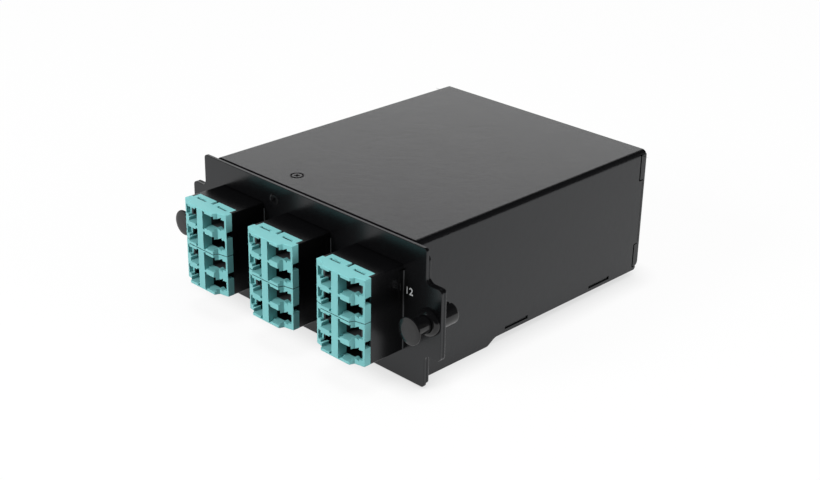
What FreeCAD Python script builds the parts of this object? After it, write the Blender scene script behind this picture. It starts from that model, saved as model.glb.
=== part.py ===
import FreeCAD, Part
import math
import os

V = FreeCAD.Vector

# Fibre cassette: a folded sheet-metal box with three groups of LC ports on its face plate.
# X runs across the face plate, Y from the ports to the rear wall, Z up.  Y is measured from the
# face plate's front and Z from the cover's lowest edge; place() moves the parts to the final frame.

# sheet-metal box
face_height = 40.8
face_bottom = 0.45
face_sheet = 1.05
flange_sheet = 1.0
flange_bottom_gap = 0.65
flange_top_gap = 2.2
face_margin = 4.2
ear_width = 5.7
ear_height = 20.8
ear_outer_radius = 1.2
ear_inner_radius = 1.7
corner_radius = 1.0
box_side_room = 4.15
box_depth = 99.65
box_top = 41.43
cover_sheet = 1.0
cover_bend = 1.7
roof_front = 1.5
side_step_y = 31.8
side_step_run = 3.2
side_step_rise = 1.85
side_step_radius = 2.0
side_slit = 1.85
tab_bottom = 10.9
tab_top = 31.9
tray_sheet = 0.8
tray_z = 3.1
tray_bend = 1.6
tray_lip_top = 7.6
hook_length = 9.5
hook_front_gap = 5.9
hook_rear_gap = 23.95
hook_recess = 0.45
hook_clearance = 0.06
hook_end_clearance = 0.2

# port groups
port_pitch = 6.25
group_gap = 9.7
stack_z = 21.35
block_height = 12.7
adapter_reach = 15.9
adapter_length = 26.0
head_half_width = 9.25
head_flat = 5.5
head_step_x = 6.1
head_step_y = 1.5
head_side_y = 2.1
head_back = 4.25
neck_half_width = 8.15
neck_gap = 1.1
neck_gap_start = 4.5
neck_end = 6.8
head_break = 0.15
mullion = 1.28
bore_width = 4.4
bore_height = 4.6
corner_relief = 0.5
corner_relief_width = 0.85
corner_relief_depth = 1.6
tooth_end = 6.2
tooth_gap = 2.9
slot_wide_x = 7.45
slot_wide_gap = 4.2
slot_end = 8.65
clip_slot_from = 2.5
clip_slot_to = 6.7
clip_slot_y = 4.1
clip_slot_width = 1.0
side_notch_height = 2.0
side_notch_wall = 0.12
side_notch_x = 7.5
bezel_top_wall = 0.45
bezel_fit = 0.05
bezel_radius = 0.35
bezel_flange = 1.5
bezel_flange_half_width = 9.55
bezel_flange_half_height = 11.75
snout_half_width = 8.65
snout_end = 4.0
cutout_clearance = 0.1

# dark cores with the bores behind the teal fronts
core_start = 3.1
core_half_width = 7.7
core_fit = 0.05
shell_floor = 0.3
latch_channel_x = 7.0

# sleeves, plugs and fibres behind the ports
collar_radius = 1.4
collar_half_length = 3.8
core_web = 1.2
sleeve_radius = 0.8
sleeve_bore = 0.625
sleeve_half_length = 3.35
sleeve_room = 3.4
sleeve_slit = 0.25
sleeve_float = 0.02
plug_clearance = 0.05
plug_front_gap = 0.4
plug_body_length = 12.7
boot_length = 8.0
boot_front = 1.7
boot_rear = 0.9
fibre_radius = 0.45
fibre_pitch = 1.2
fibre_columns = 1.44
fanout_neck = 0.65
fanout_length = 9.0
fanout_width = 7.0
fanout_height = 4.4
fanout_radius = 0.8

# trunk connectors in the rear wall
trunk_z = 20.9
trunk_body_width = 15.0
trunk_body_height = 10.0
trunk_length = 24.0
trunk_flange_width = 23.0
trunk_flange = 1.6
trunk_port_width = 12.6
trunk_port_height = 7.8
trunk_key_width = 3.0
trunk_key_height = 0.7
trunk_web = 2.0
trunk_web_y = 11.0
trunk_web_hole_width = 7.2
trunk_web_hole_height = 3.2
trunk_screw_spacing = 18.6
trunk_plug_clearance = 0.15
trunk_plug_end = 27.0
trunk_ferrule_width = 6.4
trunk_ferrule_height = 2.5
trunk_ferrule_length = 1.9
trunk_boot_length = 9.0
trunk_boot_front = 2.9
trunk_boot_rear = 1.9

# latches in the ears, and screws
latch_inset = 1.5
collar_out = 1.6
grommet_flange_radius = 4.1
grommet_barrel_radius = 3.15
grommet_end = 7.7
collar_chamfer = 0.9
barrel_point = 1.1
grommet_slit = 0.8
grommet_slit_length = 4.2
grommet_fit = 0.05
knob_radius = 3.95
knob_front = 7.75
knob_thick = 1.1
knob_edge = 0.35
stem_radius = 2.45
stem_end = 1.2
pin_radius = 1.6
pin_end = 6.4
pin_point = 0.5
plunger_fit = 0.05
shoulder_room = 4.8
screw_x = -14.3
cover_screw_y = 8.7
cover_screw_head = 2.1
cover_screw_shank = 1.25
cover_screw_length = 4.0
screw_head_depth = 0.8
screw_tab_half_width = 7.0
screw_tab_end = 15.0
screw_clearance = 0.05
face_screw_z = 36.3
face_screw_head = 1.9
face_screw_shank = 1.1
face_screw_end = 4.5
trunk_screw_head = 1.4
trunk_screw_shank = 0.9
trunk_screw_head_depth = 0.5
trunk_screw_length = 2.2

group_pitch = 2 * head_half_width + group_gap
box_half_width = group_pitch + head_half_width + box_side_room
face_half_width = box_half_width + face_margin
ear_reach = face_half_width + ear_width
latch_x = face_half_width + latch_inset
face_top = face_bottom + face_height
face_middle = face_bottom + face_height / 2
flange_back = face_sheet + flange_sheet
bezel_half_height = block_height
core_top = block_height - bezel_top_wall - bezel_fit
core_middle = adapter_length / 2
core_split = block_height / 2
rear_inside = box_depth - tray_sheet
side_rear_edge = rear_inside - side_slit
hook_starts = (side_step_y + hook_front_gap, box_depth - hook_rear_gap)
plug_front = core_middle + collar_half_length + plug_front_gap
plug_end = plug_front + plug_body_length
fibre_start = plug_end + boot_length - adapter_reach
trunk_boot_end = box_depth - trunk_plug_end - trunk_boot_length
fanout_front = trunk_boot_end - fanout_neck - fanout_length
group_centres = (-group_pitch, 0.0, group_pitch)
port_heights = ((block_height - port_pitch) / 2, (block_height + port_pitch) / 2)
plate_y = -(box_depth - adapter_reach) / 2


def xz(u, v, w):
    return V(u, w, v)


def xy(u, v, w):
    return V(u, v, w)


def yz(u, v, w):
    return V(w, u, v)


def block(x0, x1, y0, y1, z0, z1):
    return Part.makeBox(x1 - x0, y1 - y0, z1 - z0, V(x0, y0, z0))


def rod(radius, x, z, y0, y1):
    return Part.makeCylinder(radius, y1 - y0, V(x, y0, z), V(0, 1, 0))


def taper(r0, r1, x, z, y0, y1):
    return Part.makeCone(r0, r1, y1 - y0, V(x, y0, z), V(0, 1, 0))


def upright(radius, y, z0, z1):
    """A vertical rod on the line of the cover screw."""
    return Part.makeCylinder(radius, z1 - z0, V(screw_x, y, z0))


def corner_arc(before, corner, after):
    """Start, middle and end of the arc that rounds one corner (u, v, radius)."""
    u, v, radius = corner
    a = V(before[0] - u, before[1] - v, 0)
    b = V(after[0] - u, after[1] - v, 0)
    a.normalize()
    b.normalize()
    if radius == 0:
        return [(u, v)]
    half = a.getAngle(b) / 2
    reach = radius / math.tan(half)
    bisector = a + b
    bisector.normalize()
    middle = bisector * (radius / math.sin(half) - radius)
    return [(u + a.x * reach, v + a.y * reach), (u + middle.x, v + middle.y),
            (u + b.x * reach, v + b.y * reach)]


def prism(corners, plane, low, high):
    """Extrude the outline through corners (u, v) or (u, v, radius) from low to high."""
    full = [c if len(c) == 3 else (c[0], c[1], 0) for c in corners]
    count = len(full)
    arcs = [corner_arc(full[i - 1], full[i], full[(i + 1) % count]) for i in range(count)]
    edges = []
    for i in range(count):
        here = [plane(u, v, low) for u, v in arcs[i]]
        following = plane(*arcs[(i + 1) % count][0], low)
        if len(here) == 3:
            edges.append(Part.Arc(*here).toShape())
        if here[-1].distanceToPoint(following) > 1e-6:
            edges.append(Part.makeLine(here[-1], following))
    face = Part.Face(Part.Wire(edges))
    return face.extrude(plane(0, 0, high) - plane(0, 0, low))


def mirrored(points):
    """Both halves of an outline given for the right side, from the middle outwards."""
    left = [(-p[0],) + tuple(p[1:]) for p in reversed(points)]
    return points + left


def rectangle(half_width, low, high, radius):
    return [(-half_width, low, radius), (half_width, low, radius),
            (half_width, high, radius), (-half_width, high, radius)]


def both_sides(shape):
    """The shape and its mirror image about the middle plane X = 0."""
    return [shape, shape.mirror(V(0, 0, 0), V(1, 0, 0))]


def joined(shapes):
    solid = shapes[0]
    if len(shapes) > 1:
        solid = solid.fuse(shapes[1:])
    return solid.removeSplitter()


def eared_outline(low, high, top_radius):
    """Right half of a front sheet with its ear, from the bottom to the top."""
    ear_low = face_middle - ear_height / 2
    ear_high = face_middle + ear_height / 2
    half = face_half_width
    return [(half, low, corner_radius), (half, ear_low, ear_inner_radius),
            (ear_reach, ear_low, ear_outer_radius), (ear_reach, ear_high, ear_outer_radius),
            (half, ear_high, ear_inner_radius), (half, high, top_radius)]


def group_cutouts(y0, y1):
    half_width = snout_half_width + cutout_clearance
    half_height = bezel_half_height + cutout_clearance
    return [block(x - half_width, x + half_width, y0, y1, stack_z - half_height, stack_z + half_height)
            for x in group_centres]


def ear_holes(y0, y1):
    radius = grommet_barrel_radius + grommet_fit
    return [rod(radius, x, face_middle, y0, y1) for x in (-latch_x, latch_x)]


def face_plate():
    outline = mirrored(eared_outline(face_bottom, face_top, corner_radius))
    sheet = prism(outline, xz, 0, face_sheet)
    tools = group_cutouts(-1, face_sheet + 1) + ear_holes(-1, face_sheet + 1)
    tools.append(rod(face_screw_shank + screw_clearance, screw_x, face_screw_z, 0, face_sheet))
    tools.append(taper(face_screw_head + screw_clearance, face_screw_shank + screw_clearance,
                       screw_x, face_screw_z, 0, screw_head_depth))
    return sheet.cut(tools)


def flange_plate():
    low = face_bottom + flange_bottom_gap
    outline = mirrored(eared_outline(low, face_top - flange_top_gap, 2 * corner_radius))
    sheet = prism(outline, xz, face_sheet, flange_back)
    tools = group_cutouts(0, flange_back + 1) + ear_holes(0, flange_back + 1)
    tab_top_z = box_top - cover_sheet
    bent = [(face_sheet, face_top - 2 * flange_top_gap), (flange_back, face_top - 2 * flange_top_gap),
            (flange_back, tab_top_z - flange_sheet, 0.3), (screw_tab_end, tab_top_z - flange_sheet),
            (screw_tab_end, tab_top_z), (face_sheet, tab_top_z, 0.3 + flange_sheet)]
    tab = prism(bent, yz, screw_x - screw_tab_half_width, screw_x + screw_tab_half_width)
    tools.append(rod(face_screw_shank, screw_x, face_screw_z, 0, flange_back + 1))
    tools.append(upright(cover_screw_shank, cover_screw_y, tab_top_z - 2 * flange_sheet, box_top))
    return joined([sheet, tab]).cut(tools)


def side_profile():
    """Outline of the cover's side walls in Y and Z, with the step in the lower edge."""
    half_run = side_step_run / 2
    slit_low = tray_z - 0.1
    slit_top = box_top - cover_sheet
    return [(flange_back, 0), (side_step_y - half_run, 0, side_step_radius),
            (side_step_y + half_run, side_step_rise, side_step_radius),
            (rear_inside, side_step_rise, 1.0), (rear_inside, slit_low), (side_rear_edge, slit_low, 0.3),
            (side_rear_edge, tab_bottom, 0.3), (rear_inside, tab_bottom), (rear_inside, tab_top),
            (side_rear_edge, tab_top, 0.3), (side_rear_edge, slit_top), (rear_inside, slit_top),
            (rear_inside, box_top), (roof_front, box_top), (roof_front, box_top - cover_bend),
            (flange_back, box_top - cover_bend)]


def cover():
    inside = box_half_width - cover_sheet
    outer = [(box_half_width, 0), (box_half_width, box_top, cover_bend)]
    inner = [(inside, box_top - cover_sheet, cover_bend - cover_sheet), (inside, 0)]
    channel = prism(outer + [(-c[0],) + tuple(c[1:]) for c in reversed(outer)]
                    + [(-c[0],) + tuple(c[1:]) for c in reversed(inner)] + inner,
                    xz, roof_front, box_depth)
    keep = prism(side_profile(), yz, -ear_reach, ear_reach)
    roof = block(-ear_reach, ear_reach, rear_inside, box_depth, box_top - cover_sheet, box_top)
    sheet = channel.common(keep.fuse(roof))
    tools = []
    for start in hook_starts:
        low = tray_z - hook_clearance
        high = tray_z + tray_sheet + hook_clearance
        slot = block(inside - 1, box_half_width + 1, start - hook_end_clearance,
                     start + hook_length + hook_end_clearance, low, high)
        tools += both_sides(slot)
    at = V(screw_x, cover_screw_y, box_top - screw_head_depth)
    tools.append(Part.makeCone(cover_screw_shank + screw_clearance, cover_screw_head + screw_clearance,
                               screw_head_depth, at))
    tools.append(upright(cover_screw_shank + screw_clearance, cover_screw_y, tray_lip_top, box_top))
    return sheet.cut(tools).removeSplitter()


def tray():
    inside = box_half_width - cover_sheet
    top = box_top - cover_sheet
    outline = [(flange_back, tray_z, tray_bend), (box_depth, tray_z, tray_bend), (box_depth, top),
               (rear_inside, top), (rear_inside, tray_z + tray_sheet, tray_bend - tray_sheet),
               (flange_back + tray_sheet, tray_z + tray_sheet, tray_bend - tray_sheet),
               (flange_back + tray_sheet, tray_lip_top), (flange_back, tray_lip_top)]
    pieces = [prism(outline, yz, -inside, inside)]
    wing = block(inside, box_half_width, rear_inside, box_depth, tray_z + tray_bend, top - cover_bend)
    pieces += both_sides(wing)
    for start in hook_starts:
        hook = block(inside, box_half_width - hook_recess, start, start + hook_length,
                     tray_z, tray_z + tray_sheet)
        pieces += both_sides(hook)
    tools = []
    half_height = trunk_body_height / 2 + cutout_clearance
    for x in group_centres:
        half = trunk_body_width / 2 + cutout_clearance
        tools.append(block(x - half, x + half, rear_inside - 1, box_depth + 1,
                           trunk_z - half_height, trunk_z + half_height))
    for x, z in trunk_screw_places():
        deep = box_depth - trunk_screw_head_depth
        tools.append(taper(trunk_screw_shank + screw_clearance, trunk_screw_head + screw_clearance,
                           x, z, deep, box_depth))
        tools.append(rod(trunk_screw_shank + screw_clearance, x, z, rear_inside - 1, deep + 0.1))
    return joined(pieces).cut(tools)


def bezel():
    """Black frame that carries one pair of blocks in front of the face plate."""
    front_side = -(adapter_reach - head_back)
    front_top = -(adapter_reach - neck_end)
    low = stack_z - bezel_half_height
    high = stack_z + bezel_half_height
    outer = rectangle(head_half_width, low, high, bezel_radius)
    body = prism(outer, xz, front_side, 0)
    flange = block(-bezel_flange_half_width, bezel_flange_half_width, -bezel_flange, 0,
                   face_middle - bezel_flange_half_height, face_middle + bezel_flange_half_height)
    snout = block(-snout_half_width, snout_half_width, -bezel_flange, snout_end, low, high)
    inner_half = core_half_width + bezel_fit
    bore = block(-inner_half, inner_half, front_side - 1, snout_end + 1,
                 low + bezel_top_wall, high - bezel_top_wall)
    throat_half = neck_half_width + bezel_fit
    throat = block(-throat_half, throat_half, front_side - 1, front_top, low - 1, high + 1)
    return joined([body, flange, snout]).cut([bore, throat]).removeSplitter()


def port_mouth():
    """Mouth of the right-hand port about Z = 0: plug hollow, two teeth, the wider latch slot."""
    half = bore_height / 2
    bore_end = mullion + bore_width
    lower = [(mullion, -half), (bore_end, -half), (bore_end, -tooth_gap / 2), (tooth_end, -tooth_gap / 2),
             (slot_wide_x, -slot_wide_gap / 2), (slot_wide_x, -tooth_gap / 2), (slot_end, -tooth_gap / 2)]
    upper = [(u, -v) for u, v in reversed(lower)]
    relief = block(mullion, mullion + corner_relief_width, 0, corner_relief_depth,
                   -half - corner_relief, half + corner_relief)
    return joined([prism(lower + upper, xz, 0, core_start), relief])


def adapter_shell():
    """Teal front of a quad block on Z = 0, middle plane X = 0, Y as depth from its front face."""
    plan = [(head_flat, 0), (head_step_x, head_step_y), (head_half_width, head_side_y),
            (head_half_width, head_back)]
    head = prism(mirrored(plan), xy, 0, block_height)
    rims = [e for e in head.Edges if e.BoundBox.ZLength < 1e-6 and e.BoundBox.YMin < head_back - 0.01]
    head = head.makeChamfer(head_break, rims)
    neck = block(-neck_half_width, neck_half_width, head_back, neck_end, 0, block_height)
    half = core_half_width + core_fit
    tools = [block(-half, half, core_start, neck_end + 1, shell_floor, core_top + core_fit),
             block(-neck_gap / 2, neck_gap / 2, neck_gap_start, neck_end + 1, -1, block_height + 1)]
    for z in port_heights:
        tools += both_sides(port_mouth().translated(V(0, 0, z)))
    tools += both_sides(block(side_notch_x, head_half_width + 1, head_side_y + side_notch_wall,
                              head_back + 1, core_split - side_notch_height / 2,
                              core_split + side_notch_height / 2))
    return joined([head, neck]).cut(tools + clip_slots())


def clip_slots():
    """Two slots for the shutter clips, through the outer wall down to the nearest port."""
    return both_sides(block(clip_slot_from, clip_slot_to, clip_slot_y, clip_slot_y + clip_slot_width,
                            port_heights[1] + bore_height / 4, block_height + 1))


def collar(x, z):
    """Eight-sided tube around one sleeve, in front of and behind the web."""
    turn = math.pi / 4
    angles = [(k + 0.5) * turn for k in range(8)]
    corners = [(x + collar_radius * math.cos(a), z + collar_radius * math.sin(a)) for a in angles]
    return prism(corners, xz, core_middle - collar_half_length, core_middle + collar_half_length)


def core(low, high, z):
    """Dark bar behind one row of ports: two plug bores, a web between them and the sleeve seats."""
    bar = block(-core_half_width, core_half_width, core_start, adapter_length, low, high)
    half = bore_height / 2
    bore_end = mullion + bore_width
    web_front = core_middle - core_web / 2
    web_back = core_middle + core_web / 2
    tools = []
    for y0, y1 in ((core_start - 1, web_front), (web_back, adapter_length + 1)):
        tools.append(block(mullion, bore_end, y0, y1, z - half, z + half))
        tools.append(block(bore_end, latch_channel_x, y0, y1, z - tooth_gap / 2, z + tooth_gap / 2))
    bar = bar.cut([c for tool in tools for c in both_sides(tool)])
    bar = bar.cut(block(-neck_gap / 2, neck_gap / 2, neck_gap_start, adapter_length + 1, low - 1, high + 1))
    x = mullion + bore_width / 2
    seat = rod(sleeve_radius + sleeve_float, x, z, core_middle - sleeve_room, core_middle + sleeve_room)
    end = rod(sleeve_bore + plug_clearance, x, z, core_start, adapter_length)
    return bar.fuse(both_sides(collar(x, z))).cut(both_sides(seat.fuse(end))).removeSplitter()


def port_centres():
    """Middle of each port of an upper block: X and Z in the block's own frame."""
    across = mullion + bore_width / 2
    return [(side * across, z) for z in port_heights for side in (-1, 1)]


def split_sleeves():
    front = core_middle - sleeve_half_length
    back = core_middle + sleeve_half_length
    sleeves = []
    for x, z in port_centres():
        tube = rod(sleeve_radius, x, z, front, back)
        bore = rod(sleeve_bore, x, z, front - 1, back + 1)
        slit = block(x - sleeve_slit / 2, x + sleeve_slit / 2, front - 1, back + 1, z, z + sleeve_radius + 1)
        sleeves.append(tube.cut([bore, slit]))
    return Part.makeCompound(sleeves)


def rear_plug():
    """One plug behind a port, about X = 0 and Z = 0: body, ferrule and tapered boot."""
    half_x = bore_width / 2 - plug_clearance
    half_z = bore_height / 2 - plug_clearance
    body = block(-half_x, half_x, plug_front, plug_end, -half_z, half_z)
    ferrule = rod(sleeve_bore, 0, 0, core_middle + plug_clearance, plug_front)
    boot = Part.makeWedge(-boot_front, plug_end, -boot_front, -boot_rear, -boot_rear,
                          boot_front, plug_end + boot_length, boot_front, boot_rear, boot_rear)
    return joined([body, ferrule, boot])


def rear_plugs():
    return Part.makeCompound([rear_plug().translated(V(x, 0, z)) for x, z in port_centres()])


def fibre(start, end):
    """One straight fibre, its ends trimmed flush with the boot and the fan-out block."""
    run = end - start
    run.normalize()
    strand = Part.makeCylinder(fibre_radius, end.distanceToPoint(start) + 2, start - run, run)
    room = 2 * block_height
    return strand.common(block(-room, room, start.y, end.y, 0, 2 * room))


def fibre_fan():
    """Eight fibres from the plugs of one group into the fan-out block, in plate coordinates."""
    fibres = []
    for index, (x, z) in enumerate(stack_ports()):
        column = 1 if x > 0 else -1
        row = index // 2
        start = V(x, fibre_start, z)
        end = V(column * fibre_columns, fanout_front, trunk_z + (1.5 - row) * fibre_pitch)
        fibres.append(fibre(start, end))
    return Part.makeCompound(fibres)


def stack_ports():
    """All eight port centres of one group from the top row down, in plate coordinates."""
    rows = [stack_z + z for z in reversed(port_heights)] + [stack_z - z for z in port_heights]
    across = mullion + bore_width / 2
    return [(side * across, z) for z in rows for side in (-1, 1)]


def fanout():
    end = fanout_front + fanout_length
    outline = rectangle(fanout_width / 2, trunk_z - fanout_height, trunk_z + fanout_height, fanout_radius)
    body = prism(outline, xz, fanout_front, end)
    neck = rod(trunk_boot_rear, 0, trunk_z, end, trunk_boot_end)
    return joined([body, neck])


def trunk_adapter():
    """Adapter for one multi-fibre trunk plug, its flange against the inside of the rear wall."""
    half_width = trunk_body_width / 2
    half_height = trunk_body_height / 2
    front = box_depth - trunk_length
    body = block(-half_width, half_width, front, box_depth, trunk_z - half_height, trunk_z + half_height)
    flange = block(-trunk_flange_width / 2, trunk_flange_width / 2, rear_inside - trunk_flange,
                   rear_inside, trunk_z - half_height, trunk_z + half_height)
    web = box_depth - trunk_web_y
    tools = []
    for y0, y1 in ((front - 1, web - trunk_web), (web, box_depth + 1)):
        tools.append(block(-trunk_port_width / 2, trunk_port_width / 2, y0, y1,
                           trunk_z - trunk_port_height / 2, trunk_z + trunk_port_height / 2))
        tools.append(block(-trunk_key_width / 2, trunk_key_width / 2, y0, y1,
                           trunk_z, trunk_z + trunk_port_height / 2 + trunk_key_height))
    tools.append(block(-trunk_web_hole_width / 2, trunk_web_hole_width / 2, front, box_depth,
                       trunk_z - trunk_web_hole_height / 2, trunk_z + trunk_web_hole_height / 2))
    for x in (-trunk_screw_spacing / 2, trunk_screw_spacing / 2):
        tools.append(rod(trunk_screw_shank, x, trunk_z, rear_inside - trunk_flange - 1, rear_inside + 1))
    return joined([body, flange]).cut(tools)


def trunk_plug():
    """Trunk plug inside the box: housing with its key, ferrule and tapered boot."""
    web_face = box_depth - trunk_web_y - trunk_web
    end = box_depth - trunk_plug_end
    half_width = trunk_port_width / 2 - trunk_plug_clearance
    half_height = trunk_port_height / 2 - trunk_plug_clearance
    body = prism(rectangle(half_width, trunk_z - half_height, trunk_z + half_height, 0.6), xz, end, web_face)
    key = block(-trunk_key_width / 2 + trunk_plug_clearance, trunk_key_width / 2 - trunk_plug_clearance,
                end + 6, web_face, trunk_z, trunk_z + half_height + trunk_key_height)
    ferrule = block(-trunk_ferrule_width / 2, trunk_ferrule_width / 2, web_face - 1,
                    web_face + trunk_ferrule_length,
                    trunk_z - trunk_ferrule_height / 2, trunk_z + trunk_ferrule_height / 2)
    boot = taper(trunk_boot_rear, trunk_boot_front, 0, trunk_z, end - trunk_boot_length, end)
    return joined([body, key, ferrule, boot])


def trunk_screw_places():
    half = trunk_screw_spacing / 2
    return [(x + side * half, trunk_z) for x in group_centres for side in (-1, 1)]


def trunk_screws():
    screws = []
    for x, z in trunk_screw_places():
        deep = box_depth - trunk_screw_head_depth
        head = taper(trunk_screw_shank, trunk_screw_head, x, z, deep, box_depth)
        shank = rod(trunk_screw_shank, x, z, deep - trunk_screw_length + trunk_screw_head_depth, deep)
        screws.append(head.fuse(shank).removeSplitter())
    return Part.makeCompound(screws)


def cover_screw():
    at = V(screw_x, cover_screw_y, box_top - screw_head_depth)
    head = Part.makeCone(cover_screw_shank, cover_screw_head, screw_head_depth, at)
    shank = Part.makeCylinder(cover_screw_shank, cover_screw_length, at - V(0, 0, cover_screw_length))
    return joined([head, shank])


def face_screw():
    head = taper(face_screw_head, face_screw_shank, screw_x, face_screw_z, 0, screw_head_depth)
    shank = rod(face_screw_shank, screw_x, face_screw_z, screw_head_depth, face_screw_end)
    return joined([head, shank])


def grommet(x):
    """Split barrel that snaps into the ear and guides the plunger."""
    flange = rod(grommet_flange_radius, x, face_middle, -collar_out, 0)
    rim = [e for e in flange.Edges if abs(e.BoundBox.YMax + collar_out) < 1e-6 and e.Closed]
    flange = flange.makeChamfer(collar_chamfer, rim)
    barrel = rod(grommet_barrel_radius, x, face_middle, 0, grommet_end)
    barrel = barrel.makeChamfer(barrel_point, [e for e in barrel.Edges
                                               if e.Closed and e.BoundBox.YMin > grommet_end - 0.01])
    seat = shoulder_room - stem_end
    wide = rod(stem_radius + plunger_fit, x, face_middle, -collar_out - 1, seat)
    narrow = rod(pin_radius + plunger_fit, x, face_middle, seat - 1, grommet_end + 1)
    start = grommet_end - grommet_slit_length
    half = grommet_slit / 2
    slit = block(x - half, x + half, start, grommet_end + 1,
                 face_middle - grommet_flange_radius, face_middle + grommet_flange_radius)
    cross = block(x - grommet_flange_radius, x + grommet_flange_radius, start, grommet_end + 1,
                  face_middle - half, face_middle + half)
    return joined([flange, barrel]).cut([wide, narrow, slit, cross])


def plunger(x):
    """Latch pin with its round pull knob, standing out in the unlocked place."""
    back = knob_thick - knob_front
    knob = rod(knob_radius, x, face_middle, -knob_front, back)
    knob = knob.makeChamfer(knob_edge, [e for e in knob.Edges if e.Closed])
    stem = rod(stem_radius, x, face_middle, back, -stem_end)
    pin = rod(pin_radius, x, face_middle, -stem_end, pin_end)
    tip = [e for e in pin.Edges if e.Closed and e.BoundBox.YMin > pin_end - 0.01]
    pin = pin.makeChamfer(pin_point, tip)
    return joined([knob, stem, pin])


def in_group(shape, x):
    """Move a piece made about the block's own frame onto the face plate at one group."""
    return shape.translated(V(x, -adapter_reach, stack_z))


def turned_over(shape):
    return shape.mirror(V(0, 0, 0), V(0, 0, 1))


def write(name, shape):
    placed = shape.translated(V(0, plate_y, 0))
    placed.exportStep(os.path.join("parts", name + ".step"))


def main():
    os.makedirs("parts", exist_ok=True)
    write("face_plate", face_plate())
    write("flange_plate", flange_plate())
    write("cover", cover())
    write("tray", tray())
    near = core(shell_floor + core_fit, core_split, port_heights[0])
    far = core(core_split, core_top, port_heights[1]).cut(clip_slots())
    upper = {"adapter": adapter_shell(), "core_top": far, "core_bottom": near,
             "split_sleeves": split_sleeves(), "rear_plugs": rear_plugs()}
    lower = dict(upper, core_top=near, core_bottom=far)
    single = {"bezel": bezel(), "fibres": fibre_fan(), "fanout": fanout(),
              "trunk_adapter": trunk_adapter(), "trunk_plug": trunk_plug()}
    for number, x in enumerate(group_centres, 1):
        for name in upper:
            write("%s_%d_upper" % (name, number), in_group(upper[name], x))
            write("%s_%d_lower" % (name, number), in_group(turned_over(lower[name]), x))
        for name, shape in single.items():
            write("%s_%d" % (name, number), shape.translated(V(x, 0, 0)))
    for side, x in (("left", -latch_x), ("right", latch_x)):
        write("grommet_" + side, grommet(x))
        write("plunger_" + side, plunger(x))
    write("cover_screw", cover_screw())
    write("face_screw", face_screw())
    write("trunk_screws", trunk_screws())


main()
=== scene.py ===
import math

import bmesh
import bpy
from mathutils import Matrix, Vector


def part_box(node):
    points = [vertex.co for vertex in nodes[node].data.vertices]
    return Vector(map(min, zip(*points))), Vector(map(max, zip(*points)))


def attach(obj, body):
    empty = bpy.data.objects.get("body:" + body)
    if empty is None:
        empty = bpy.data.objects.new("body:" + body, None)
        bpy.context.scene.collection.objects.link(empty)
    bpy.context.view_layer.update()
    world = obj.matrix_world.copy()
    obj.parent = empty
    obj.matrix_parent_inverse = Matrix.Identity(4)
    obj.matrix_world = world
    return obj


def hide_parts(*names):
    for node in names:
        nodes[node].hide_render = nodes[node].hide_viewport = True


MM = 0.001
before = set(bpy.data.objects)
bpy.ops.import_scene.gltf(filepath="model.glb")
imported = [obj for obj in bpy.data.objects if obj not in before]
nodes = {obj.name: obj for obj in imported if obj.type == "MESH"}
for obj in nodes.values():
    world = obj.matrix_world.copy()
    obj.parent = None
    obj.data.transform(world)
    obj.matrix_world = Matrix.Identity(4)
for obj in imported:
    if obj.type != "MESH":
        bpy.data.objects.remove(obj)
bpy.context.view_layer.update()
groups = (1, 2, 3)
levels = ("upper", "lower")


# ---- node helpers ----

def new_material(name):
    """A material with a bare Principled shader; returns it, its tree and the shader."""
    material = bpy.data.materials.new(name)
    material.use_nodes = True
    tree = material.node_tree
    return material, tree, tree.nodes["Principled BSDF"]


def link(tree, source, output, target, socket):
    """Join a named output of one shader node to an input of another."""
    tree.links.new(source.outputs[output], target.inputs[socket])


def add_noise(tree, scale_mm, detail=2.0, rough=0.5):
    """Noise in object space whose grains are about scale_mm wide."""
    place = tree.nodes.new("ShaderNodeTexCoord")
    noise = tree.nodes.new("ShaderNodeTexNoise")
    noise.inputs["Scale"].default_value = 1 / (scale_mm * MM)
    noise.inputs["Detail"].default_value = detail
    noise.inputs["Roughness"].default_value = rough
    link(tree, place, "Object", noise, "Vector")
    return noise


def add_range(tree, source, output, low, high, spread=0.25):
    """Map a noise output about its middle to the range low to high."""
    remap = tree.nodes.new("ShaderNodeMapRange")
    remap.inputs["From Min"].default_value = 0.5 - spread
    remap.inputs["From Max"].default_value = 0.5 + spread
    remap.inputs["To Min"].default_value = low
    remap.inputs["To Max"].default_value = high
    link(tree, source, output, remap, "Value")
    return remap


def add_bump(tree, shader, noise, height_mm, below=None):
    """Bump of the given height from a noise; stacks on an earlier bump node."""
    bump = tree.nodes.new("ShaderNodeBump")
    bump.inputs["Strength"].default_value = 1.0
    bump.inputs["Distance"].default_value = height_mm * MM
    link(tree, noise, "Fac", bump, "Height")
    if below is not None:
        link(tree, below, "Normal", bump, "Normal")
    link(tree, bump, "Normal", shader, "Normal")
    return bump


def mottled(tree, shader, noise, dark, light):
    """Base colour that drifts between two colours with a noise."""
    mix = tree.nodes.new("ShaderNodeMix")
    mix.data_type = "RGBA"
    mix.inputs[6].default_value = (*dark, 1)
    mix.inputs[7].default_value = (*light, 1)
    remap = add_range(tree, noise, "Fac", 0, 1)
    link(tree, remap, "Result", mix, 0)
    tree.links.new(mix.outputs[2], shader.inputs["Base Color"])


# ---- materials ----

# powder coat: widths of its noises in mm, darkest colour, cool tint of its gloss
COAT_GRAIN = 0.45
COAT_PEEL = 2.4
COAT_DRIFT = 9.0
COAT_FLECK = 0.42
COAT_DARK = (0.0012, 0.0012, 0.0014)
COAT_GLOSS = (0.94, 0.965, 1.0, 1)
ROUGH_DRIFT = 0.02
PLATE_FLECK = 0.0038
SHEET_FLECK = 0.0048


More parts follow.
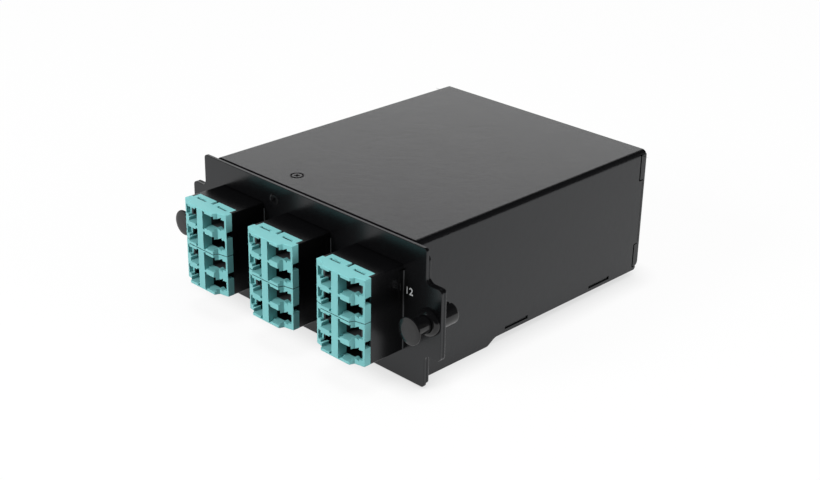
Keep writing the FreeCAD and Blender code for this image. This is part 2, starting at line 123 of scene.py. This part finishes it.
def powder_coat(name, rough, grain_height, fleck=PLATE_FLECK):
    """Glossy black powder coat: fine light flecks and grain (height in mm) over an orange peel."""
    material, tree, shader = new_material(name)
    grain = add_noise(tree, COAT_GRAIN, 3.0, 0.6)
    peel = add_noise(tree, COAT_PEEL, 2.0)
    drift = add_noise(tree, COAT_DRIFT, 3.0)
    flecks = add_noise(tree, COAT_FLECK, 2.0, 0.7)
    mottled(tree, shader, flecks, COAT_DARK, (fleck, fleck, 1.12 * fleck))
    shader.inputs["Specular Tint"].default_value = COAT_GLOSS
    remap = add_range(tree, drift, "Fac", rough - ROUGH_DRIFT, rough + ROUGH_DRIFT)
    link(tree, remap, "Result", shader, "Roughness")
    wide = add_bump(tree, shader, peel, 0.5 * grain_height)
    add_bump(tree, shader, grain, grain_height, wide)
    return material


MOULD_CLOUD = 2.5
MOULD_GRAIN = 0.12
MOULD_ROUGH = (-0.04, 0.06)


def moulded(name, dark, light, rough, grain_height):
    """Moulded plastic: slightly cloudy colour and a fine spark-eroded grain."""
    material, tree, shader = new_material(name)
    cloud = add_noise(tree, MOULD_CLOUD, 3.0)
    grain = add_noise(tree, MOULD_GRAIN, 2.0)
    mottled(tree, shader, cloud, dark, light)
    remap = add_range(tree, cloud, "Fac", rough + MOULD_ROUGH[0], rough + MOULD_ROUGH[1])
    link(tree, remap, "Result", shader, "Roughness")
    add_bump(tree, shader, grain, grain_height)
    return material


def seam_painted_shade(material, height_mm, half_mm, shade):
    """Painted shade: a dark band in the colour where the stacked housings meet, at one height."""
    tree = material.node_tree
    shader = tree.nodes["Principled BSDF"]
    colour = shader.inputs["Base Color"].links[0].from_socket
    place = tree.nodes.new("ShaderNodeTexCoord")
    split = tree.nodes.new("ShaderNodeSeparateXYZ")
    link(tree, place, "Object", split, "Vector")
    inside = tree.nodes.new("ShaderNodeMath")
    inside.operation = "COMPARE"
    inside.inputs[1].default_value = height_mm * MM
    inside.inputs[2].default_value = half_mm * MM
    link(tree, split, "Z", inside, 0)
    mix = tree.nodes.new("ShaderNodeMix")
    mix.data_type = "RGBA"
    mix.inputs[7].default_value = (*shade, 1)
    link(tree, inside, "Value", mix, 0)
    tree.links.new(colour, mix.inputs[6])
    tree.links.new(mix.outputs[2], shader.inputs["Base Color"])


def zirconia(name):
    """Polished ceramic of the split sleeves."""
    material, tree, shader = new_material(name)
    mottled(tree, shader, add_noise(tree, 0.5), (0.72, 0.71, 0.66), (0.82, 0.81, 0.77))
    shader.inputs["Roughness"].default_value = 0.18
    return material


def paint(name, colour):
    """White pad print with a slightly uneven ink film."""
    material, tree, shader = new_material(name)
    thin = tuple(0.86 * c for c in colour)
    mottled(tree, shader, add_noise(tree, 0.15), thin, colour)
    shader.inputs["Roughness"].default_value = 0.5
    return material


plate_black = powder_coat("plate_powder_coat", 0.23, 0.0004)
sheet_black = powder_coat("cover_powder_coat", 0.20, 0.06, SHEET_FLECK)
frame_black = powder_coat("adapter_frame_coat", 0.25, 0.0006)
nylon_black = moulded(
    "black_nylon", (0.003, 0.003, 0.0034), (0.0045, 0.0045, 0.005), 0.16, 0.0004)
steel_black = moulded(
    "blackened_steel", (0.003, 0.003, 0.0034), (0.006, 0.006, 0.0065), 0.22, 0.0005)
core_grey = moulded(
    "shutter_grey", (0.035, 0.036, 0.038), (0.05, 0.05, 0.052), 0.5, 0.001)
core_black = moulded(
    "core_black", (0.0022, 0.0022, 0.0024), (0.0034, 0.0034, 0.0036), 0.35, 0.001)
teal = moulded(
    "teal_moulding", (0.19, 0.505, 0.51), (0.205, 0.53, 0.535), 0.42, 0.0012)
# painted shade along the seam between the stacked housings: half its height in mm and its colour
SEAM_SHADE_HALF = 0.11
SEAM_PAINTED_SHADE = (0.012, 0.04, 0.042)
seam_painted_shade(teal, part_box("adapter_1_upper")[0][2] / MM, SEAM_SHADE_HALF, SEAM_PAINTED_SHADE)
fibre_skin = moulded("fibre_coating", (0.10, 0.42, 0.45), (0.12, 0.47, 0.5), 0.3, 0.001)
sleeve_white = zirconia("zirconia")
white_ink = paint("white_print", (0.82, 0.83, 0.84))


def give(name, material):
    """Put one material in every slot of a CAD node."""
    for slot in nodes[name].material_slots:
        slot.material = material


def dress_nodes():
    """Give every CAD node its material."""
    for name in ("face_plate", "flange_plate"):
        give(name, plate_black)
    for name in ("cover", "tray"):
        give(name, sheet_black)
    for number in groups:
        give("bezel_%d" % number, frame_black)
        give("fibres_%d" % number, fibre_skin)
        give("fanout_%d" % number, nylon_black)
        give("trunk_adapter_%d" % number, nylon_black)
        give("trunk_plug_%d" % number, teal)
        for level in levels:
            give("adapter_%d_%s" % (number, level), teal)
            give("core_top_%d_%s" % (number, level), core_grey)
            give("core_bottom_%d_%s" % (number, level), core_black)
            give("split_sleeves_%d_%s" % (number, level), sleeve_white)
            give("rear_plugs_%d_%s" % (number, level), teal)
    for side in ("left", "right"):
        give("grommet_" + side, nylon_black)
        give("plunger_" + side, nylon_black)
    for name in ("cover_screw", "face_screw", "trunk_screws"):
        give(name, steel_black)


WELD_REACH = 0.0005
FLAT_ANGLE = 1.0
EDGE_ANGLE = 30.0
EDGE_SEGMENTS = 2


def soften(name, width_mm):
    """Small rounded edges on a CAD node, so that they catch the light."""
    piece = nodes[name]
    weld = piece.modifiers.new("weld", "WELD")
    weld.merge_threshold = WELD_REACH * MM
    clean = piece.modifiers.new("merge_flats", "DECIMATE")
    clean.decimate_type = "DISSOLVE"
    clean.angle_limit = math.radians(FLAT_ANGLE)
    bevel = piece.modifiers.new("edge_round", "BEVEL")
    bevel.width = width_mm * MM
    bevel.segments = EDGE_SEGMENTS
    bevel.limit_method = "ANGLE"
    bevel.angle_limit = math.radians(EDGE_ANGLE)
    bevel.use_clamp_overlap = False
    normals = piece.modifiers.new("even_normals", "WEIGHTED_NORMAL")
    normals.weight = 80


dress_nodes()


# ---- turned and printed pieces ----

TURN_STEPS = 72
SMOOTH_ANGLE = 35.0
JOIN_REACH = 1e-7
plate_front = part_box("face_plate")[0][1] / MM


def as_piece(work, name, material, smooth_angle):
    """Object from a bmesh, smooth where its faces meet at less than the angle in degrees."""
    limit = math.radians(smooth_angle)
    for face in work.faces:
        face.smooth = True
    for edge in work.edges:
        edge.smooth = len(edge.link_faces) == 2 and edge.calc_face_angle(0) < limit
    mesh = bpy.data.meshes.new(name)
    work.to_mesh(mesh)
    work.free()
    mesh.materials.append(material)
    piece = bpy.data.objects.new(name, mesh)
    bpy.context.scene.collection.objects.link(piece)
    return piece


def mesh_piece(name, verts, faces, material, smooth_angle=SMOOTH_ANGLE):
    """Object from points in mm and faces."""
    work = bmesh.new()
    points = [work.verts.new(Vector(v) * MM) for v in verts]
    for face in faces:
        work.faces.new([points[i] for i in face])
    bmesh.ops.remove_doubles(work, verts=work.verts, dist=JOIN_REACH)
    bmesh.ops.recalc_face_normals(work, faces=work.faces)
    return as_piece(work, name, material, smooth_angle)


def prism(near, far):
    """Points and faces of a closed prism between two matching outlines."""
    count = len(near)
    faces = [(i, (i + 1) % count, (i + 1) % count + count, i + count) for i in range(count)]
    faces += [tuple(range(count)), tuple(range(count, 2 * count))]
    return near + far, faces


def rounded(outline, radii, steps=5):
    """Outline of (radius, height) points with each corner cut to a small arc."""
    points = []
    for place, (corner, radius) in enumerate(zip(outline, radii)):
        if not radius:
            points.append(corner)
            continue
        here = Vector(corner)
        before = (Vector(outline[place - 1]) - here).normalized()
        after = (Vector(outline[(place + 1) % len(outline)]) - here).normalized()
        half = before.angle(after) / 2
        reach = radius / math.tan(half)
        centre = here + (before + after).normalized() * (radius / math.sin(half))
        start = here + before * reach - centre
        end = here + after * reach - centre
        for step in range(steps + 1):
            spoke = start.slerp(end, step / steps)
            points.append(tuple(centre + spoke.normalized() * radius))
    return points


def turned(outline, closed):
    """Points and faces of an outline of (radius, height) spun about the height axis."""
    verts, faces = [], []
    count = len(outline)
    for step in range(TURN_STEPS):
        angle = 2 * math.pi * step / TURN_STEPS
        verts += [(r * math.cos(angle), h, r * math.sin(angle)) for r, h in outline]
    for step in range(TURN_STEPS):
        a, b = step * count, (step + 1) % TURN_STEPS * count
        for place in range(count if closed else count - 1):
            after = (place + 1) % count
            faces.append((a + place, a + after, b + after, b + place))
    return verts, faces


def prong(outline, half_slit, turn, steps=14):
    """One finger of a slit tube: the outline swept over half a turn, its cut sides flat."""
    verts, faces = [], []
    count = len(outline)
    for step in range(steps + 1):
        for r, h in outline:
            edge = math.asin(half_slit / r)
            angle = turn + edge + (math.pi - 2 * edge) * step / steps
            verts.append((r * math.cos(angle), h, r * math.sin(angle)))
    for step in range(steps):
        a, b = step * count, (step + 1) * count
        for place in range(count):
            after = (place + 1) % count
            faces.append((a + place, a + after, b + after, b + place))
    faces.append(tuple(range(count)))
    faces.append(tuple(range(steps * count, (steps + 1) * count)))
    return verts, faces


def put_together(parts, centre):
    """Join (points, faces) lists into one, moved to a centre in mm."""
    verts, faces = [], []
    for more_verts, more_faces in parts:
        start = len(verts)
        verts += [tuple(a + b for a, b in zip(v, centre)) for v in more_verts]
        faces += [tuple(index + start for index in face) for face in more_faces]
    return verts, faces


def axis_of(name):
    """Middle of a turned node's box across its axis, and its front and rear ends, in mm."""
    low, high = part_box(name)
    x = (low[0] + high[0]) / 2 / MM
    z = (low[2] + high[2]) / 2 / MM
    return x, z, low[1] / MM, high[1] / MM


# latch knob, in mm: AXIS is the small radius at which a turned end is left
AXIS = 0.001
KNOB_RADIUS = 3.95
KNOB_RIM = 0.45
KNOB_THICK = 1.1
KNOB_DOME_IN = 1.2
KNOB_DOME_DROP = 0.06
KNOB_DOME = 0.2
KNOB_BACK_IN = 1.0
KNOB_BACK_FILLET = 0.25
STEM_RADIUS = 2.45
STEM_END = 1.2
PIN_RADIUS = 1.6
PIN_POINT = 0.5
KNOB_ROUNDS = (0, 2.0, 0.28, 0.2, 0.5, 0.4, 0.1, 0, 0.2, 0.2, 0)


def knob_outline(front, rear):
    """Domed pull disc with a thin rim, its stem and the pin behind, front to rear."""
    seat = plate_front - STEM_END
    back = front + KNOB_THICK
    corners = [
        (AXIS, front),
        (KNOB_RADIUS - KNOB_DOME_IN, front + KNOB_DOME_DROP),
        (KNOB_RADIUS, front + KNOB_DOME),
        (KNOB_RADIUS, front + KNOB_DOME + KNOB_RIM),
        (KNOB_RADIUS - KNOB_BACK_IN, back),
        (STEM_RADIUS, back + KNOB_BACK_FILLET),
        (STEM_RADIUS, seat),
        (PIN_RADIUS, seat),
        (PIN_RADIUS, rear - PIN_POINT),
        (PIN_RADIUS - PIN_POINT, rear),
        (AXIS, rear),
    ]
    return rounded(corners, KNOB_ROUNDS)


def knobs():
    """Latch plungers with their rounded knobs; each rides on its own plunger."""
    for side in ("left", "right"):
        node = "plunger_" + side
        x, z, front, rear = axis_of(node)
        verts, faces = put_together([turned(knob_outline(front, rear), False)], (x, 0, z))
        piece = mesh_piece("knob_" + side, verts, faces, nylon_black, 60.0)
        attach(piece, node)
        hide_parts(node)


# latch guide, in mm
COLLAR_RADIUS = 3.95
COLLAR_ROUND = 1.35
COLLAR_STEPS = 11
MOUTH_WIDE = 0.15
MOUTH_DEEP = 0.1
MOUTH_ROUND = 0.05
BARREL_RADIUS = 3.13
STEM_HOLE = 2.5
PIN_HOLE = 1.65
SLIT_LENGTH = 4.2
SLIT_HALF = 0.35
SHOULDER = 3.6
PRONG_END = 0.9
PRONG_ROUNDS = (0, 0, 1.0, 0.3)


def guides():
    """Grommets: rounded collar on the ear, barrel through it, two sprung fingers behind."""
    for side in ("left", "right"):
        node = "grommet_" + side
        x, z, front, rear = axis_of(node)
        rear = rear + PRONG_END
        slit = rear - SLIT_LENGTH
        shoulder = plate_front + SHOULDER
        collar = [
            (STEM_HOLE, front + MOUTH_DEEP),
            (STEM_HOLE + MOUTH_WIDE, front),
            (COLLAR_RADIUS, front),
            (COLLAR_RADIUS, plate_front),
            (BARREL_RADIUS, plate_front),
            (BARREL_RADIUS, slit),
            (STEM_HOLE, slit),
        ]
        collar = rounded(collar, (0, MOUTH_ROUND, COLLAR_ROUND, 0, 0, 0, 0), COLLAR_STEPS)
        shoulder_ring = [
            (STEM_HOLE, shoulder), (STEM_HOLE, slit), (PIN_HOLE, slit), (PIN_HOLE, shoulder)]
        finger = [(PIN_HOLE, slit), (BARREL_RADIUS, slit), (BARREL_RADIUS, rear), (PIN_HOLE, rear)]
        finger = rounded(finger, PRONG_ROUNDS)
        parts = [turned(collar, True)]
        parts += [prong(finger, SLIT_HALF, turn) for turn in (math.pi / 2, -math.pi / 2)]
        if slit > shoulder:
            parts.append(turned(shoulder_ring, True))
        verts, faces = put_together(parts, (x, 0, z))
        piece = mesh_piece("latch_guide_" + side, verts, faces, nylon_black, 50.0)
        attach(piece, "cassette")
        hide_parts(node)


# flush screw head, in mm
SCREW_HEAD = 1.55
HEAD_ROUND = 0.12
LIP_ROUND = 0.03
GROOVE_OUT = 0.42
GROOVE_DEEP = 0.8
CROSS_REACH = 0.85
CROSS_HALF = 0.28
CROSS_DEEP = 0.7
CROSS_TAPER = 0.45
CROSS_MARGIN = 0.25


def screw_head(name, centre, outer, facing):
    """Flush screw head with a rim groove and a tapered cross recess; facing turns it from up."""
    lip = SCREW_HEAD + GROOVE_OUT
    flat = CROSS_REACH + CROSS_MARGIN
    ring = [(flat, 0), (SCREW_HEAD, 0), (SCREW_HEAD, -GROOVE_DEEP), (lip, -GROOVE_DEEP),
            (lip, 0), (outer, 0), (outer, -GROOVE_DEEP)]
    ring = rounded(ring, (0, HEAD_ROUND, 0, 0, LIP_ROUND, 0, 0))
    verts, faces = turned(ring, False)
    work = bmesh.new()
    points = [work.verts.new((x, z, h)) for x, h, z in verts]
    for face in faces:
        work.faces.new([points[i] for i in face])
    rim = [points[step * len(ring)] for step in range(TURN_STEPS)]
    cross = []
    for quarter in range(4):
        turn = quarter * math.pi / 2 + math.pi / 4
        cos, sin = math.cos(turn), math.sin(turn)
        arm = ((CROSS_REACH, -CROSS_HALF), (CROSS_REACH, CROSS_HALF), (CROSS_HALF, CROSS_HALF))
        cross += [(u * cos - v * sin, u * sin + v * cos) for u, v in arm]
    top = [work.verts.new((x, y, 0)) for x, y in cross]
    deep = [work.verts.new((CROSS_TAPER * x, CROSS_TAPER * y, -CROSS_DEEP)) for x, y in cross]
    count = len(cross)
    for i in range(count):
        after = (i + 1) % count
        work.faces.new((top[i], top[after], deep[after], deep[i]))
    work.faces.new(deep)
    edges = [work.edges.get((rim[i], rim[(i + 1) % TURN_STEPS])) for i in range(TURN_STEPS)]
    edges += [work.edges.get((top[i], top[(i + 1) % count])) for i in range(count)]
    bmesh.ops.triangle_fill(work, use_beauty=True, edges=edges)
    bmesh.ops.recalc_face_normals(work, faces=work.faces)
    bmesh.ops.transform(work, matrix=facing, verts=work.verts)
    bmesh.ops.scale(work, vec=(MM, MM, MM), verts=work.verts)
    bmesh.ops.translate(work, vec=Vector(centre) * MM, verts=work.verts)
    piece = as_piece(work, name, steel_black, SMOOTH_ANGLE)
    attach(piece, "cassette")
    return piece


def screws():
    """Screw heads in the cover, facing up, and in the face plate, facing the front."""
    low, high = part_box("cover_screw")
    centre = ((low[0] + high[0]) / 2 / MM, (low[1] + high[1]) / 2 / MM, high[2] / MM)
    outer = (high[0] - low[0]) / 2 / MM
    piece = screw_head("cover_screw_head", centre, outer, Matrix.Identity(4))
    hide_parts("cover_screw")
    low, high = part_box("face_screw")
    centre = ((low[0] + high[0]) / 2 / MM, low[1] / MM, (low[2] + high[2]) / 2 / MM)
    outer = (high[0] - low[0]) / 2 / MM
    forward = Matrix.Rotation(math.radians(90), 4, "X")
    piece = screw_head("face_screw_head", centre, outer, forward)
    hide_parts("face_screw")


# bead beside an adapter frame, in mm: its width, how far its belly lies out, its ends' margins
BEAD = 0.24
BEAD_BELLY = 0.6
BEAD_ENDS = (0.5, 1.5)


def beads():
    """Thin sloped bead where each adapter frame meets the face plate, down both its sides."""
    for number in groups:
        low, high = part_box("bezel_%d" % number)
        bottom = low[2] / MM + BEAD_ENDS[0]
        top = high[2] / MM - BEAD_ENDS[1]
        for side, edge, out in (("left", low[0] / MM, -BEAD), ("right", high[0] / MM, BEAD)):
            corners = [
                (edge, plate_front - BEAD),
                (edge + BEAD_BELLY * out, plate_front - BEAD_BELLY * BEAD),
                (edge + out, plate_front),
                (edge, plate_front),
            ]
            foot, head = ([(x, y, z) for x, y in corners] for z in (bottom, top))
            verts, faces = prism(foot, head)
            piece = mesh_piece("bead_%d_%s" % (number, side), verts, faces, frame_black)
            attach(piece, "cassette")


# rear corner flanges, in mm: bends, sheet, reach to the front, heights of the cover's rear tab
COVER_BEND = 1.7
TRAY_BEND = 1.6
SHEET = 1.0
CORNER_REACH = 2.25
TAB = (10.9, 31.9)
TAB_GAP = 0.3
CORNER_CHAMFER = (0.3, 0.4)
CORNER_INSET = 0.01
CORNER_PROUD = 0.004
CORNER_ROOM = 0.02
TRAY_ARC = 5
COVER_ARC = 6


def rear_corners():
    """Folded corner flanges of the tray, closing the cover's rear slits to a thin line."""
    cover_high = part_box("cover")[1]
    tray_low, tray_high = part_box("tray")
    outside = cover_high[0] / MM + CORNER_PROUD
    inside = cover_high[0] / MM - SHEET
    rear = cover_high[1] / MM - CORNER_INSET
    front, foot = rear - CORNER_REACH, tray_low[2] / MM
    top = tray_high[2] / MM - CORNER_ROOM
    bend_z = cover_high[2] / MM - COVER_BEND
    low_outline = [(front, foot + CORNER_CHAMFER[1]), (front + CORNER_CHAMFER[0], foot)]
    for step in range(TRAY_ARC + 1):
        turn = math.radians(90 * step / TRAY_ARC)
        low_outline.append((rear - TRAY_BEND + TRAY_BEND * math.sin(turn),
                            foot + TRAY_BEND - TRAY_BEND * math.cos(turn)))
    low_outline += [(rear, TAB[0]), (front, TAB[0] - TAB_GAP)]
    limit = math.asin(min(1.0, (top - bend_z) / COVER_BEND))
    high_outline = [(inside, TAB[1] + TAB_GAP), (outside, TAB[1] + TAB_GAP)]
    for step in range(COVER_ARC + 1):
        turn = limit * step / COVER_ARC
        high_outline.append((outside - COVER_BEND + COVER_BEND * math.cos(turn),
                             bend_z + COVER_BEND * math.sin(turn)))
    high_outline.append((inside, top))
    for way, word in ((-1, "left"), (1, "right")):
        low_sides = [[(way * x, y, z) for y, z in low_outline] for x in (inside, outside)]
        high_sides = [[(way * x, y, z) for x, z in high_outline] for y in (front, rear)]
        verts, faces = put_together([prism(*low_sides), prism(*high_sides)], (0, 0, 0))
        piece = mesh_piece("rear_corner_" + word, verts, faces, sheet_black, 25.0)
        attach(piece, "cassette")


# clip slots in the housings and the dark sheet of painted shade in each, in mm
SLOT_SPAN = (2.5, 6.7)
SLOT_START = 4.1
SLOT_WIDTH = 1.0
SHADE_SHEET_DROP = 0.5
SHADE_SHEET_THICK = 0.35
SHADE_SHEET_BOW = 0.12


def slot_shade_sheets():
    """Painted shade: a dark sheet across each clip slot, just under the housing's skin, where the
    slot shows only shade.
    """
    for number in groups:
        for level, way in (("upper", 1), ("lower", -1)):
            low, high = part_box("adapter_%d_%s" % (number, level))
            middle = (low[0] + high[0]) / 2 / MM
            skin = (high if way > 0 else low)[2] / MM
            z0 = skin - way * SHADE_SHEET_DROP
            y0 = low[1] / MM + SLOT_START
            for side, word in ((-1, "left"), (1, "right")):
                xs = sorted((middle + side * SLOT_SPAN[0], middle + side * SLOT_SPAN[1]))
                y1 = y0 + SLOT_WIDTH
                under = z0 - way * SHADE_SHEET_THICK
                cross = [(y0, z0), (y0 + SLOT_WIDTH / 2, z0 + SHADE_SHEET_BOW * way), (y1, z0),
                         (y1, under), (y0, under)]
                verts, faces = prism(*([(x, y, z) for y, z in cross] for x in xs))
                name = "clip_leaf_%d_%s_%s" % (number, level, word)
                piece = mesh_piece(name, verts, faces, core_black, 40.0)
                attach(piece, "cassette")


# printed number, in mm
MARK_SIZE = 2.9
MARK_RAISE = 0.012
MARK_BOLD = 0.06
MARK_GAP = 0.55
MARK_FOOT = 26.2


def plate_mark():
    """Plain white number printed beside the right-hand group."""
    words = bpy.data.curves.new("plate_number", "FONT")
    words.body = "12"
    words.size = MARK_SIZE * MM
    words.extrude = MARK_RAISE * MM
    words.offset = MARK_BOLD * MM
    piece = bpy.data.objects.new("plate_number", words)
    words.materials.append(white_ink)
    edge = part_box("bezel_3")[1][0] / MM
    piece.location = Vector((edge + MARK_GAP, plate_front - MARK_RAISE, MARK_FOOT)) * MM
    piece.rotation_euler = (math.radians(90), 0, 0)
    bpy.context.scene.collection.objects.link(piece)
    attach(piece, "cassette")


knobs()
guides()
screws()
beads()
# painted shade: dark sheets in the clip slots
slot_shade_sheets()
plate_mark()
rear_corners()
for softened, edge_width in (("face_plate", 0.14), ("flange_plate", 0.3), ("cover", 0.16)):
    soften(softened, edge_width)


# ---- studio ----

# floor: half its width in metres, its glow to the camera and in gloss, its own shade, and the
# painted contact shadow, a darker band of its glow near the object, reach in mm
FLOOR_HALF = 3.0
FLOOR_GLOW = 0.93
FLOOR_MIRRORED = 0.78
FLOOR_SHADE = 0.06
CONTACT_REACH = 9.0
CONTACT_SHADE = 0.72
CONTACT_FLOOR = 0.3
CONTACT_SAMPLES = 8


def backdrop():
    """Pale floor: white to the camera and in reflections, but it keeps the object's shadow; its
    glow carries a painted contact shadow near the object.
    """
    mesh = bpy.data.meshes.new("floor")
    quarters = ((-1, -1), (1, -1), (1, 1), (-1, 1))
    corners = [(FLOOR_HALF * x, FLOOR_HALF * y, 0) for x, y in quarters]
    mesh.from_pydata(corners, [], [(0, 1, 2, 3)])
    floor = bpy.data.objects.new("floor", mesh)
    bpy.context.scene.collection.objects.link(floor)
    material, tree, shader = new_material("floor_paper")
    shader.inputs["Base Color"].default_value = (FLOOR_SHADE, FLOOR_SHADE, FLOOR_SHADE, 1)
    shader.inputs["Roughness"].default_value = 0.9
    shader.inputs["Specular IOR Level"].default_value = 0.0
    path = tree.nodes.new("ShaderNodeLightPath")
    either = tree.nodes.new("ShaderNodeMath")
    either.operation = "MAXIMUM"
    link(tree, path, "Is Glossy Ray", either, 0)
    link(tree, path, "Is Transmission Ray", either, 1)
    mirrored = tree.nodes.new("ShaderNodeMath")
    mirrored.operation = "MULTIPLY"
    mirrored.inputs[1].default_value = FLOOR_MIRRORED
    link(tree, either, "Value", mirrored, 0)
    glow = tree.nodes.new("ShaderNodeMath")
    glow.operation = "MULTIPLY_ADD"
    glow.inputs[1].default_value = FLOOR_GLOW
    link(tree, path, "Is Camera Ray", glow, 0)
    link(tree, mirrored, "Value", glow, 2)
    # painted contact shadow: ambient occlusion darkens the floor's glow near the object
    near = tree.nodes.new("ShaderNodeAmbientOcclusion")
    near.samples = CONTACT_SAMPLES
    near.inputs["Distance"].default_value = CONTACT_REACH * MM
    painted_contact_shadow = tree.nodes.new("ShaderNodeMapRange")
    painted_contact_shadow.inputs["From Min"].default_value = CONTACT_FLOOR
    painted_contact_shadow.inputs["To Min"].default_value = CONTACT_SHADE
    link(tree, near, "AO", painted_contact_shadow, "Value")
    shaded = tree.nodes.new("ShaderNodeMath")
    shaded.operation = "MULTIPLY"
    link(tree, glow, "Value", shaded, 0)
    link(tree, painted_contact_shadow, "Result", shaded, 1)
    shader.inputs["Emission Color"].default_value = (1, 1, 1, 1)
    link(tree, shaded, "Value", shader, "Emission Strength")
    mesh.materials.append(material)


# strength of the even light and of what gloss sees, and where in the view the wall fades out
WORLD_LIGHT = 0.39
WALL_WHITE = 1.03
ROOM_DARK = 0.08
WALL_TOP = (0.33, 0.80)
WALL_SIDE = (-0.50, -0.20)
WALL_BACK = (0.0, 0.35)


def fade(tree, split, axis, span, low, high):
    """Go from low to high as one part of the view direction crosses the span."""
    remap = tree.nodes.new("ShaderNodeMapRange")
    remap.interpolation_type = "SMOOTHSTEP"
    remap.inputs["From Min"].default_value = span[0]
    remap.inputs["From Max"].default_value = span[1]
    remap.inputs["To Min"].default_value = low
    remap.inputs["To Max"].default_value = high
    link(tree, split, axis, remap, "Value")
    return remap


def surroundings():
    """Studio: even soft light; gloss sees a white wall behind on the left and a dark room."""
    world = bpy.data.worlds.new("studio")
    bpy.context.scene.world = world
    world.use_nodes = True
    tree = world.node_tree
    background = tree.nodes["Background"]
    background.inputs["Color"].default_value = (1, 1, 1, 1)
    path = tree.nodes.new("ShaderNodeLightPath")
    direction = tree.nodes.new("ShaderNodeTexCoord")
    split = tree.nodes.new("ShaderNodeSeparateXYZ")
    link(tree, direction, "Generated", split, "Vector")
    height = fade(tree, split, "Z", WALL_TOP, WALL_WHITE, ROOM_DARK)
    side = fade(tree, split, "X", WALL_SIDE, 1.0, ROOM_DARK)
    rear = fade(tree, split, "Y", WALL_BACK, ROOM_DARK, 1.0)
    corner = tree.nodes.new("ShaderNodeMath")
    corner.operation = "MULTIPLY"
    link(tree, rear, "Result", corner, 0)
    link(tree, side, "Result", corner, 1)
    wall = tree.nodes.new("ShaderNodeMath")
    wall.operation = "MULTIPLY"
    link(tree, height, "Result", wall, 0)
    link(tree, corner, "Value", wall, 1)
    gloss = tree.nodes.new("ShaderNodeMix")
    gloss.inputs["A"].default_value = WORLD_LIGHT
    link(tree, path, "Is Glossy Ray", gloss, "Factor")
    link(tree, wall, "Value", gloss, "B")
    seen = tree.nodes.new("ShaderNodeMix")
    seen.inputs["B"].default_value = 1.0
    link(tree, path, "Is Camera Ray", seen, "Factor")
    link(tree, gloss, "Result", seen, "A")
    link(tree, seen, "Result", background, "Strength")


def lamp(name, place, target, size, power):
    """Square area lamp at place, aimed at target."""
    light = bpy.data.lights.new(name, "AREA")
    light.shape = "SQUARE"
    light.size = size
    light.energy = power
    lamp_object = bpy.data.objects.new(name, light)
    lamp_object.location = place
    aim = Vector(target) - Vector(place)
    lamp_object.rotation_euler = aim.to_track_quat("-Z", "Y").to_euler()
    lamp_object.visible_glossy = False
    bpy.context.scene.collection.objects.link(lamp_object)
    return lamp_object


def lights():
    """Soft lamps from the front left, above and the right; sizes in metres, power in watts."""
    middle = (0, 0, 0.02)
    lamp("key", (-0.3, -1.0, 0.5), middle, 0.5, 12.4)
    lamp("top", (0.15, 0.1, 0.9), middle, 0.6, 2.7)
    lamp("side", (0.9, 0.25, 0.3), middle, 0.4, 5.2)


# camera: place in mm, turns in degrees, focal length for a 36 mm wide sensor
CAMERA_PLACE = (280.0, -288.1, 197.9)
CAMERA_YAW = 44.3
CAMERA_PITCH = 24.4
CAMERA_ROLL = 1.12
CAMERA_LENS = 64.33
SENSOR_WIDTH = 36


def camera():
    """Camera looking back along its own direction, turned by the roll."""
    yaw = math.radians(CAMERA_YAW)
    pitch = math.radians(CAMERA_PITCH)
    roll = math.radians(CAMERA_ROLL)
    level = math.cos(pitch)
    back = Vector((math.sin(yaw) * level, -math.cos(yaw) * level, math.sin(pitch)))
    right = Vector((0, 0, 1)).cross(back).normalized()
    up = back.cross(right)
    turned_right = math.cos(roll) * right + math.sin(roll) * up
    turned_up = math.cos(roll) * up - math.sin(roll) * right
    turn = Matrix((turned_right, turned_up, back)).transposed().to_4x4()
    data = bpy.data.cameras.new("camera")
    data.lens = CAMERA_LENS
    data.sensor_width = SENSOR_WIDTH
    data.clip_start = 0.01
    eye = bpy.data.objects.new("camera", data)
    eye.matrix_world = Matrix.Translation(Vector(CAMERA_PLACE) * MM) @ turn
    bpy.context.scene.collection.objects.link(eye)
    bpy.context.scene.camera = eye


backdrop()
surroundings()
lights()
camera()
bpy.context.scene.view_settings.view_transform = "Standard"
